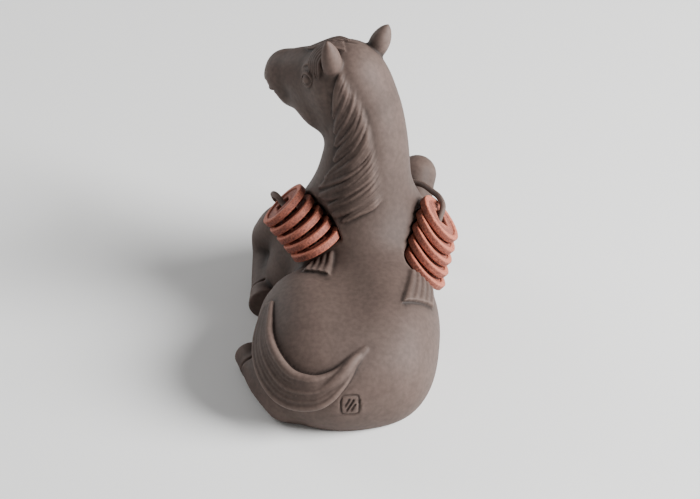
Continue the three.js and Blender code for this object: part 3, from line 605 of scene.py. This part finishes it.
# The mane, from the ear down: where its locks leave the crest, two places on their way down the
# left side of the neck, and their tips
MANE_CREST = (
    (1.7, 25.7, 91.5), (3.9, 26.6, 86.3), (6.5, 24.8, 81.9), (8.9, 23.4, 76.1), (11, 21.7, 69.8),
    (12.4, 19.6, 63.6), (13.5, 17.6, 57.4), (14.4, 16.1, 52.3), (14.6, 15, 48.5),
)
MANE_HIGH = (
    (1, 26, 86.4), (3.4, 24.9, 81.2), (6.1, 23.6, 76.5), (8.2, 22.1, 70.7), (9.3, 19.9, 64.4),
    (9.7, 17.7, 58.7), (9.9, 15.7, 53.2), (10.4, 14.2, 48.9), (11.3, 13.3, 46),
)
MANE_LOW = (
    (0.1, 26, 80.8), (1.5, 25, 74.8), (3.6, 23.4, 69.1), (4.7, 21.1, 63.5), (3.5, 18.9, 57.1),
    (2.7, 17.2, 52.3), (2.9, 15.3, 47.8), (4, 13.8, 44.9), (6.5, 12.7, 43.6),
)
MANE_TIPS = (
    (-0.5, 26.2, 75), (-0.2, 26.5, 68.2), (-0.1, 24.9, 61.8), (-0.9, 22.6, 56.2), (-4.4, 23.6, 48.5),
    (-6.1, 23.6, 44.1), (-4.2, 18.5, 42.3), (-1.9, 15, 40.7), (2.3, 12.6, 40.9),
)
MANE_GUIDES = (MANE_CREST, MANE_HIGH, MANE_LOW, MANE_TIPS)
MANE_LOCKS = 10
STRANDS_IN_A_LOCK = 5
MANE_STEPS = 20

# At each guide, how wide a lock is, in shares of its room, and how thick its strands are. Then how far
# a lock sways, and a strand in it, how the strands' thickness varies above the tips, and how much
# shorter the outer strands are.
LOCK_WIDTHS = (1.1, 1.05, 0.9, 0.35)
STRAND_RADII = (0.3, 0.65, 0.7, 0.3)
LOCK_SWAY = 0.25
STRAND_SWAY = 0.06
STRAND_VARIES = (0.75, 1.25)
OUTER_SHORTER = 0.3


def mane(bare):
    """The steps that join locks of a few strands, spread at the crest and drawn together at the tip."""
    chance = np.random.default_rng(5)
    guides = [smooth_line(guide, MANE_STEPS) for guide in MANE_GUIDES]
    last = len(guides[0]) - 1
    lines = []
    for lock in range(MANE_LOCKS):
        sway = chance.uniform(-LOCK_SWAY, LOCK_SWAY)
        for strand in range(STRANDS_IN_A_LOCK):
            aside = strand / (STRANDS_IN_A_LOCK - 1) - 0.5
            line = []
            for guide, width, radius in zip(guides, LOCK_WIDTHS, STRAND_RADII):
                own_sway = chance.uniform(-STRAND_SWAY, STRAND_SWAY)
                at = (lock + 0.5 + aside * width + sway + own_sway) / MANE_LOCKS * last
                place = guide[int(np.clip(round(at), 0, last))]
                line.append([*place, radius * chance.uniform(*STRAND_VARIES)])
            tip = mix(line[2], line[3], 1 - OUTER_SHORTER * abs(aside))
            line[3] = [*tip[:3], STRAND_RADII[3]]
            lines.append(line)
    return [join(lock, 0.15) for lock in strands_on(bare, lines, 0.25, 6, 0.9)]


# The tassels: where the cord ends in the clay, the edge under the coins, the hem, and how many folds
# of which radius lie between them. Then how thick a fold is at which shares of its length, and the
# radius and depth of what is cut off past the hem.
TASSELS = (
    {"knot": (-3.6, 6.4, 30.4), "top": ((-9.6, 6.6, 31.2), (-3.2, 6.2, 33.6)),
     "hem": ((-11, -1.4, 32.2), (-5.6, -4.4, 33.4)), "folds": 4, "radius": 1.5},
    {"knot": (24.2, 1.6, 22), "top": ((22, -2, 30), (27, 0.5, 23.6)),
     "hem": ((18.4, -18.6, 31), (25.4, -15, 26)), "folds": 5, "radius": 1.7},
)
FOLD_SWELL = ((0, 0.7), (0.4, 0.9), (0.85, 1.05), (1.1, 1.05))
PAST_HEM = (8, 5)


def tassels(bare):
    """The steps that join the tassels' folds and cut them straight at the hem."""
    lines = []
    for tassel in TASSELS:
        radius = tassel["radius"]
        for t in np.linspace(0, 1, tassel["folds"]):
            top, end = mix(*tassel["top"], t), mix(*tassel["hem"], t)
            lines.append([[*mix(top, end, share), radius * swell] for share, swell in FOLD_SWELL])
    steps = [join(strand, 0.5) for strand in strands_on(bare, lines, 0.62)]
    return steps + [cut(past_hem(tassel), 0.25) for tassel in TASSELS]


def past_hem(tassel):
    """What lies past a tassel's hem, which is cut straight."""
    low, high = (np.asarray(end, float) for end in tassel["hem"])
    along = unit(high - low)
    past = np.subtract(mix(low, high, 0.5), mix(*tassel["top"], 0.5))
    past = unit(past - along * (past @ along))
    radius, depth = PAST_HEM
    return plate(mix(low, high, 0.5), past, radius, 0, depth)


# The stamp on the rump: its middle, half its width and height, the radius of its lines, and the lines
# in a square two across, a frame with rounded corners and three plain strokes
STAMP_CENTRE = (-1.4, -44.8, 13.5)
STAMP_HALF = (2.7, 3.3)
STAMP_RADIUS = 0.36
STAMP_LINES = (
    ((-0.6, 1), (0.6, 1), (1, 0.7), (1, -0.7), (0.6, -1), (-0.6, -1), (-1, -0.7), (-1, 0.7), (-0.6, 1)),
    ((-0.55, -0.1), (-0.1, 0.55)), ((-0.4, -0.6), (0.4, 0.5)), ((0.1, -0.6), (0.55, 0)),
)


def stamp(bare):
    """The steps that press the stamp into the rump."""
    lines = []
    for line in STAMP_LINES:
        corners = [(x * STAMP_HALF[0], 0, z * STAMP_HALF[1]) for x, z in line]
        lines.append([[*np.add(STAMP_CENTRE, corner), STAMP_RADIUS] for corner in corners])
    return [cut(groove, 0.15) for groove in strands_on(bare, lines, 0.5, 3)]


def creases(bare):
    """The steps that press faint dents into the skin. Only their seams reach it."""
    grooves = (
        # in front of the haunches
        ((-25, 3, 20, 1.2), (-19, -0.5, 28, 2.2), (-12.5, -3, 33, 2), (-6, -7, 34.5, 0.8)),
        ((29, 2, 14, 1.2), (28, -4, 22, 2), (25, -9, 28, 1.2)),
        # behind the left elbow
        ((-17, 22, 24, 1.2), (-21, 27, 17, 2.2), (-22, 31, 11, 1.2)),
    )
    return [cut(groove, 2.5) for groove in strands_on(bare, grooves, -0.5)]


# The cord comes out of one tassel, runs through that string's coins, passes round the chest and
# runs back through the other string's coins to the other tassel. These are its places on the chest,
# and on either side between the chest and the coins.
CHEST = (
    (-17.5, 43, 31), (-10, 50, 29), (-1, 53, 27), (8, 54, 26), (16, 51.5, 28), (23, 48, 31),
)
LEFT_BEND = (-19.6, 36.6, 37)
RIGHT_BENDS = ((29.4, 41, 35.6), (33, 34, 36.6), (34.4, 28, 38))


def cord(clay):
    """The cord as one limb, sunk a little into the chest."""
    runs = []
    for string in STRINGS:
        centres = [centre for centre, _, _ in coin_places(string)]
        step = centres[1] - centres[0]
        runs.append([centres[0] - step, *centres, centres[-1] + step])
    left, right = runs
    chest = laid_on(clay, CHEST, CORD_RADIUS * 0.5)
    line = [TASSELS[0]["knot"], *left, LEFT_BEND, *chest, *RIGHT_BENDS, *right[::-1], TASSELS[1]["knot"]]
    return limb([[*point, CORD_RADIUS] for point in line], 5)


def clay_horse():
    """All that is of dark clay, as one mass."""
    bare = body()
    room = COIN_THICKNESS / 2 + BED_SPARE
    beds = []
    for string in STRINGS:
        for centre, normal, _ in coin_places(string):
            bed = plate(centre, normal, COIN_RADIUS + BED_SPARE, room, BED_HEIGHT)
            beds.append(cut(bed, 1.2))
    hair = worked([*tassels(bare), *tail(bare), *mane(bare)])
    ears = [step for each in EARS for step in ear(**each)]
    clay = worked([
        join(face(bare), 1), *creases(bare), *coronets(), join(hair, 0.6), *ears, *stamp(bare), *beds,
    ])
    return worked([join(clay, 0.5), join(cord(clay), 0.3), cut(ground(0), 0.6)])


# The skin of a mass. A grid of cubes is laid through it, each cube is parted into six tetrahedra
# round its long diagonal, and a triangle or two closes each one that the skin passes.
TETRAHEDRA = ((0, 1, 3, 7), (0, 3, 2, 7), (0, 2, 6, 7), (0, 6, 4, 7), (0, 4, 5, 7), (0, 5, 1, 7))


def faces_for(pattern):
    """The triangles that part the corners inside from those outside, as pairs of corners."""
    inside = [corner for corner in range(4) if pattern >> corner & 1]
    outside = [corner for corner in range(4) if not pattern >> corner & 1]
    order = outside + inside if len(inside) == 3 else inside + outside
    swaps = sum(order[a] > order[b] for a in range(4) for b in range(a + 1, 4))
    if swaps % 2:
        order[2:] = order[:1:-1]
    p, q, r, s = order
    if len(inside) == 1:
        return [((p, q), (p, r), (p, s))]
    if len(inside) == 3:
        return [((p, q), (p, s), (p, r))]
    ring_of = ((p, r), (p, s), (q, s), (q, r))
    return [ring_of[:3], (ring_of[0], ring_of[2], ring_of[3])]


def skin(depth, low, grid):
    """The vertices and triangles of the skin."""
    depth = np.where(depth == 0, 1e-6, depth)
    inside = depth < 0
    size = depth.shape
    corners = [(c & 1, c >> 1 & 1, c >> 2) for c in range(8)]
    views = [inside[i:size[0] - 1 + i, j:size[1] - 1 + j, k:size[2] - 1 + k] for i, j, k in corners]
    total = sum(view.astype(np.int8) for view in views)
    cells = np.argwhere((total > 0) & (total < 8))
    strides = np.array([size[1] * size[2], size[2], 1])
    ids = (cells @ strides)[:, None] + (np.array(corners) @ strides)[None, :]
    flat = depth.ravel()
    triangles = []
    for tetrahedron in TETRAHEDRA:
        own = ids[:, tetrahedron]
        pattern = (flat[own] < 0) @ np.array([1, 2, 4, 8])
        for value in range(1, 15):
            rows = own[pattern == value]
            for face in faces_for(value):
                triangles.append(np.stack([np.sort(rows[:, list(pair)], 1) for pair in face], 1))
    edges = np.concatenate(triangles).reshape(-1, 2)
    keys, numbers = np.unique(edges[:, 0] * flat.size + edges[:, 1], return_inverse=True)
    ends = np.stack([keys // flat.size, keys % flat.size], 1)
    share = flat[ends[:, 0]] / (flat[ends[:, 0]] - flat[ends[:, 1]])
    places = [np.stack(np.unravel_index(ends[:, end], size), 1) for end in (0, 1)]
    vertices = (places[0] + (places[1] - places[0]) * share[:, None]) * grid + low
    return vertices, numbers.reshape(-1, 3)


def new_mesh(name, vertices, faces):
    """A new object in the scene, with vertices in millimetres and faces of equal size."""
    mesh = bpy.data.meshes.new(name)
    vertices = np.asarray(vertices, np.float32) * MM
    faces = np.asarray(faces, np.int32)
    mesh.vertices.add(len(vertices))
    mesh.vertices.foreach_set("co", vertices.ravel())
    mesh.loops.add(faces.size)
    mesh.loops.foreach_set("vertex_index", faces.ravel())
    mesh.polygons.add(len(faces))
    mesh.polygons.foreach_set("loop_start", np.arange(0, faces.size, faces.shape[1], dtype=np.int32))
    mesh.update(calc_edges=True)
    mesh.validate()
    mesh.shade_smooth()
    piece = bpy.data.objects.new(name, mesh)
    bpy.context.scene.collection.objects.link(piece)
    return piece


def keep(piece, name, values):
    """Keeps a value for each vertex, for the materials."""
    layer = piece.data.attributes.new(name, "FLOAT", "POINT")
    layer.data.foreach_set("value", np.clip(values, 0, 1).astype(np.float32))


def thinned(piece, triangles):
    """Folds a piece's edges until few enough triangles are left."""
    fold = piece.modifiers.new("fold", "DECIMATE")
    fold.ratio = min(triangles / len(piece.data.polygons), 1)
    bpy.context.view_layer.update()
    result = bpy.data.meshes.new_from_object(piece.evaluated_get(bpy.context.evaluated_depsgraph_get()))
    piece.modifiers.remove(fold)
    piece.data = result
    result.shade_smooth()


def drop_specks(mesh):
    """Deletes every shell but the largest: the rest are specks of air shut in under the hair."""
    edges = np.empty(len(mesh.edges) * 2, np.int32)
    mesh.edges.foreach_get("vertices", edges)
    one, other = edges.reshape(-1, 2).T
    shell = np.arange(len(mesh.vertices))
    spread = None
    while not np.array_equal(spread, shell):
        shell = shell if spread is None else spread
        lowest = np.minimum(shell[one], shell[other])
        spread = shell.copy()
        np.minimum.at(spread, one, lowest)
        np.minimum.at(spread, other, lowest)
        spread = spread[spread]
    specks = np.flatnonzero(shell != np.bincount(shell).argmax())
    work = bmesh.new()
    work.from_mesh(mesh)
    work.verts.ensure_lookup_table()
    bmesh.ops.delete(work, geom=[work.verts[int(number)] for number in specks], context="VERTS")
    work.to_mesh(mesh)
    work.free()


def depths(mass, axes):
    """The depth of every grid point, block by block. Blocks far from the skin are not measured."""
    middles = [np.array([axis[i:i + BLOCK].mean() for i in range(0, len(axis), BLOCK)]) for axis in axes]
    grid = np.stack(np.meshgrid(*middles, indexing="ij"), -1)
    coarse = measured(mass, grid.reshape(-1, 3)).reshape(grid.shape[:3])
    depth = np.repeat(np.repeat(np.repeat(coarse, BLOCK, 0), BLOCK, 1), BLOCK, 2)
    depth = depth[:len(axes[0]), :len(axes[1]), :len(axes[2])].astype(np.float32)
    for place in np.argwhere(np.abs(coarse) < BLOCK * GRID + BAND):
        window = tuple(slice(i * BLOCK, (i + 1) * BLOCK) for i in place)
        x, y, z = (axis[part] for axis, part in zip(axes, window))
        depth[window] = mass.measure((x[:, None, None], y[None, :, None], z[None, None, :]), BAND)
    return depth


def hollows(mesh):
    """How far each vertex lies below its surroundings, in millimetres, or above them where negative."""
    count = len(mesh.vertices)
    places, normals = np.empty(count * 3), np.empty(count * 3)
    mesh.vertices.foreach_get("co", places)
    mesh.vertices.foreach_get("normal", normals)
    edges = np.empty(len(mesh.edges) * 2, np.int32)
    mesh.edges.foreach_get("vertices", edges)
    places, normals, edges = places.reshape(-1, 3) / MM, normals.reshape(-1, 3), edges.reshape(-1, 2)
    near = np.bincount(edges.ravel(), minlength=count)

    def smoothed(values):
        total = np.zeros_like(values)
        for axis in range(values.shape[1]):
            for one, other in ((0, 1), (1, 0)):
                total[:, axis] += np.bincount(edges[:, one], values[edges[:, other], axis], count)
        return total / near[:, None]

    smooth = places
    for _ in range(SMOOTHINGS):
        smooth = smoothed(smooth)
    below = ((smooth - places) * normals).sum(1)[:, None]
    return smoothed(below)[:, 0]


def horse():
    """The horse's piece."""
    axes = [np.arange(low, high, GRID) for low, high in zip(GRID_LOW, GRID_HIGH)]
    depth = depths(clay_horse(), axes)
    piece = new_mesh("horse_clay", *skin(depth, GRID_LOW, GRID))
    thinned(piece, HORSE_TRIANGLES)
    drop_specks(piece.data)
    # the hollow value drives the dark clay's painted shade in hollows and painted highlight on edges
    keep(piece, "hollow", 0.5 + hollows(piece.data) / (2 * DEEPEST))
    return piece


# A coin's steps round its hole, and how square the hole's corners are
COIN_TURNS = 96
HOLE_SQUARENESS = 14

# One side of a coin, outwards from its hole's wall. The lip round the hole: distances out from the
# wall and heights over the face. The face: shares of the way from the lip to the rim, and how far
# they lie under the lip's foot. The rim, a flattened arch: its steps, how deep its feet are under the
# face, and the power that flattens it.
HOLE_LIP = ((0, -0.4), (0.05, -0.05), (0.3, 0.2), (0.75, 0.24), (1.15, 0.12), (1.4, -0.05))
FACE_SHARES = (0.15, 0.3, 0.45, 0.6, 0.75, 0.9)
FACE_DIP = 0.06
RIM_STEPS = 12
RIM_FOOT = 0.1
RIM_FLATNESS = 0.4


def coin_side(angles):
    """A coin's rings on one side: how far out each is at the angles, and how high."""
    half = COIN_THICKNESS / 2
    face = half - COIN_FACE_SUNK
    corners = np.abs(np.cos(angles)) ** HOLE_SQUARENESS + np.abs(np.sin(angles)) ** HOLE_SQUARENESS
    hole = COIN_HOLE / 2 / corners ** (1 / HOLE_SQUARENESS)
    rings = [(hole + out, face + height) for out, height in HOLE_LIP]
    lip_edge = hole + HOLE_LIP[-1][0]
    rings += [(mix(lip_edge, COIN_RADIUS - COIN_RIM, share), face - FACE_DIP) for share in FACE_SHARES]
    for step in range(RIM_STEPS + 1):
        turn = math.pi * (1 - step / RIM_STEPS)
        radius = COIN_RADIUS - COIN_RIM / 2 + math.cos(turn) * COIN_RIM / 2
        height = face - RIM_FOOT + math.sin(turn) ** RIM_FLATNESS * (half - face + RIM_FOOT)
        rings.append((radius, height))
    return rings


def coin_piece(name, place):
    """A coin's piece, with how far its surface rises from the face, 0, to the rim, 1."""
    centre, normal, along = place
    half = COIN_THICKNESS / 2
    face = half - COIN_FACE_SUNK
    angles = np.linspace(0, 2 * math.pi, COIN_TURNS, endpoint=False)
    upper = coin_side(angles)
    rings = upper + [(radius, -height) for radius, height in reversed(upper)]
    across = np.cross(along, normal)
    across /= np.linalg.norm(across)
    forward = np.cross(across, normal)
    vertices = []
    for radius, height in rings:
        out = np.outer(radius * np.cos(angles), across) + np.outer(radius * np.sin(angles), forward)
        vertices.append(centre + out + normal * height)
    count = len(rings)
    faces = []
    for ring_number in range(count):
        after = (ring_number + 1) % count
        for turn in range(COIN_TURNS):
            beside = (turn + 1) % COIN_TURNS
            faces.append((ring_number * COIN_TURNS + turn, ring_number * COIN_TURNS + beside,
                          after * COIN_TURNS + beside, after * COIN_TURNS + turn))
    piece = new_mesh(name, np.concatenate(vertices), faces)
    height = np.concatenate([np.full(COIN_TURNS, abs(height)) for _, height in rings])
    # the rise sets where the red clay gets painted shade on the sunk faces
    keep(piece, "rise", (height - face) / (half - face))
    return piece


# Materials: the stops of their colours, in linear light. The tones and flecks follow noise. The dark clay's
# painted shade and painted highlight go from the sharpest edges, painted paler, to the deepest hollows,
# painted darker.
DARK_TONES = ((0.3, (0.067, 0.046, 0.038)), (0.52, (0.074, 0.051, 0.043)), (0.72, (0.079, 0.057, 0.048)))
DARK_FLECKS = ((0.3, (0.86,) * 3), (0.7, (1.12,) * 3))
# painted shade and painted highlight: how much the colour is darkened in hollows or made paler on edges
DARK_PAINTED_SHADE_AND_HIGHLIGHT = ((0.0, (1.5,) * 3), (0.42, (1,) * 3), (0.58, (1,) * 3), (1.0, (0.35,) * 3))
RED_RIM_TONES = ((0.35, (0.27, 0.062, 0.036)), (0.62, (0.5, 0.155, 0.086)))
# the faces' tones are the rims' red clay darkened with painted shade
RED_FACE_PAINTED_SHADE_TONES = ((0.38, (0.11, 0.028, 0.018)), (0.66, (0.34, 0.1, 0.06)))


def nodes_of(name):
    """A new material, its nodes and its shader."""
    material = bpy.data.materials.new(name)
    material.use_nodes = True
    tree = material.node_tree
    return material, tree, tree.nodes["Principled BSDF"]


def add(tree, kind, **settings):
    """A new node, with its settings and the values of its inputs."""
    node = tree.nodes.new(kind)
    for key, value in settings.items():
        if hasattr(node, key):
            setattr(node, key, value)
        else:
            node.inputs[key].default_value = value
    return node


def noise(tree, where, scale, **settings):
    """Noise at the places given, from 0 to 1."""
    node = add(tree, "ShaderNodeTexNoise", Scale=scale, **settings)
    tree.links.new(where, node.inputs["Vector"])
    return node.outputs["Fac"]


def ramp(tree, source, stops):
    """Colours for the values of a source, blended between the stops."""
    node = tree.nodes.new("ShaderNodeValToRGB")
    tree.links.new(source, node.inputs[0])
    while len(node.color_ramp.elements) < len(stops):
        node.color_ramp.elements.new(0.5)
    for element, (position, colour) in zip(node.color_ramp.elements, stops):
        element.position = position
        element.color = (*colour, 1)
    return node.outputs[0]


def blended(tree, a, b, share=1, **settings):
    """Two colours mixed. The share of the second is a number or the output of a node."""
    node = add(tree, "ShaderNodeMix", data_type="RGBA", **settings)
    if isinstance(share, bpy.types.NodeSocket):
        tree.links.new(share, node.inputs["Factor"])
    else:
        node.inputs["Factor"].default_value = share
    tree.links.new(a, node.inputs["A"])
    tree.links.new(b, node.inputs["B"])
    return node.outputs["Result"]


def bumped(tree, height, strength, distance):
    """A bump, whose own normal is still free for a coarser one."""
    node = add(tree, "ShaderNodeBump", Strength=strength, Distance=distance)
    tree.links.new(height, node.inputs["Height"])
    return node


def dark_clay():
    """Dark clay: cloudy, flecked and grainy, with painted shade in its hollows and painted highlight on its
    edges.
    """
    material, tree, shader = nodes_of("dark_clay")
    where = add(tree, "ShaderNodeTexCoord").outputs["Object"]
    tone = ramp(tree, noise(tree, where, 42, Detail=5, Roughness=0.55), DARK_TONES)
    flecks = ramp(tree, noise(tree, where, 700, Detail=2), DARK_FLECKS)
    spotted = blended(tree, tone, flecks, blend_type="MULTIPLY")
    hollow = add(tree, "ShaderNodeAttribute", attribute_name="hollow").outputs["Fac"]
    # painted shade darkens the colour in the hollows, and painted highlight makes it paler on the edges
    painted_shade_and_highlight = ramp(tree, hollow, DARK_PAINTED_SHADE_AND_HIGHLIGHT)
    tree.links.new(blended(tree, spotted, painted_shade_and_highlight, blend_type="MULTIPLY"), shader.inputs["Base Color"])
    waves = bumped(tree, noise(tree, where, 160, Detail=2), 0.25, 0.0006)
    grain = bumped(tree, noise(tree, where, 2400, Detail=3), 0.16, 0.0001)
    tree.links.new(waves.outputs["Normal"], grain.inputs["Normal"])
    tree.links.new(grain.outputs["Normal"], shader.inputs["Normal"])
    shader.inputs["Roughness"].default_value = 0.62
    shader.inputs["Specular IOR Level"].default_value = 0.2
    return material


def red_clay():
    """Red clay: coarse, with painted shade that makes the coins' sunk faces darker than their rims."""
    material, tree, shader = nodes_of("red_clay")
    where = add(tree, "ShaderNodeTexCoord").outputs["Object"]
    grain = noise(tree, where, 1500, Detail=5, Roughness=0.7)
    rise = add(tree, "ShaderNodeAttribute", attribute_name="rise").outputs["Fac"]
    # painted shade: the sunk faces, where the rise is low, take the darker tones
    tone = blended(tree, ramp(tree, grain, RED_FACE_PAINTED_SHADE_TONES), ramp(tree, grain, RED_RIM_TONES), rise)
    tree.links.new(tone, shader.inputs["Base Color"])
    bump = bumped(tree, grain, 0.8, 0.0003)
    tree.links.new(bump.outputs["Normal"], shader.inputs["Normal"])
    shader.inputs["Roughness"].default_value = 0.72
    return material


def dress(piece, material, slot, *nodes):
    """Gives a piece its material, its body and the nodes it replaces. The slot is not used."""
    piece.data.materials.clear()
    piece.data.materials.append(material)
    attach(piece, "root")
    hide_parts(*nodes)


# Camera: how far round and up it stands, how far away, and what it looks at
CAMERA_TURN = math.radians(-5)
CAMERA_RISE = math.radians(35)
CAMERA_REACH = 0.56
CAMERA_AIM = Vector((0.0025, 0, 0.039))
LENS = 92.16
SENSOR = 36

# Floor and lights: how far the floor reaches, the strength of the light from all round, and each
# lamp's place, aim, width and power
FLOOR_REACH = 3000
FLOOR_COLOUR = (0.86, 0.86, 0.85, 1)
WORLD_STRENGTH = 0.3
LAMPS = {
    "key": ((0.92, -0.3, 0.58), (0, 0, 0.04), 0.7, 42),
    "fill": ((-0.75, 0.75, 0.4), (0, 0.02, 0.04), 0.6, 5),
}


def set_camera():
    data = bpy.data.cameras.new("camera")
    data.lens = LENS
    data.sensor_width = SENSOR
    data.clip_start = 0.01
    camera = bpy.data.objects.new("camera", data)
    level = math.cos(CAMERA_RISE)
    back = Vector((math.sin(CAMERA_TURN) * level, -math.cos(CAMERA_TURN) * level, math.sin(CAMERA_RISE)))
    camera.location = CAMERA_AIM + back * CAMERA_REACH
    camera.rotation_euler = back.to_track_quat("Z", "Y").to_euler()
    bpy.context.scene.collection.objects.link(camera)
    bpy.context.scene.camera = camera


def set_floor():
    corners = [(x * FLOOR_REACH, y * FLOOR_REACH, 0) for x, y in ((-1, -1), (1, -1), (1, 1), (-1, 1))]
    piece = new_mesh("floor", corners, [(0, 1, 2, 3)])
    material, _, shader = nodes_of("floor")
    shader.inputs["Base Color"].default_value = FLOOR_COLOUR
    shader.inputs["Roughness"].default_value = 0.9
    piece.data.materials.append(material)


def add_light(name, place, aim, size, power):
    data = bpy.data.lights.new(name, "AREA")
    data.shape = "DISK"
    data.size = size
    data.energy = power
    light = bpy.data.objects.new(name, data)
    light.location = place
    light.rotation_euler = (Vector(place) - Vector(aim)).to_track_quat("Z", "Y").to_euler()
    bpy.context.scene.collection.objects.link(light)


def set_light():
    world = bpy.data.worlds.new("studio")
    world.use_nodes = True
    background = world.node_tree.nodes["Background"]
    background.inputs["Color"].default_value = (1, 1, 1, 1)
    background.inputs["Strength"].default_value = WORLD_STRENGTH
    bpy.context.scene.world = world
    for name, (place, aim, size, power) in LAMPS.items():
        add_light(name, place, aim, size, power)


set_camera()
set_floor()
set_light()
dark = dark_clay()
red = red_clay()
dress(horse(), dark, "dark_clay", "horse")
for string in STRINGS:
    for number, place in enumerate(coin_places(string), 1):
        node = f"coin_{string['name']}_{number}"
        dress(coin_piece(f"{node}_clay", place), red, "red_clay", node)
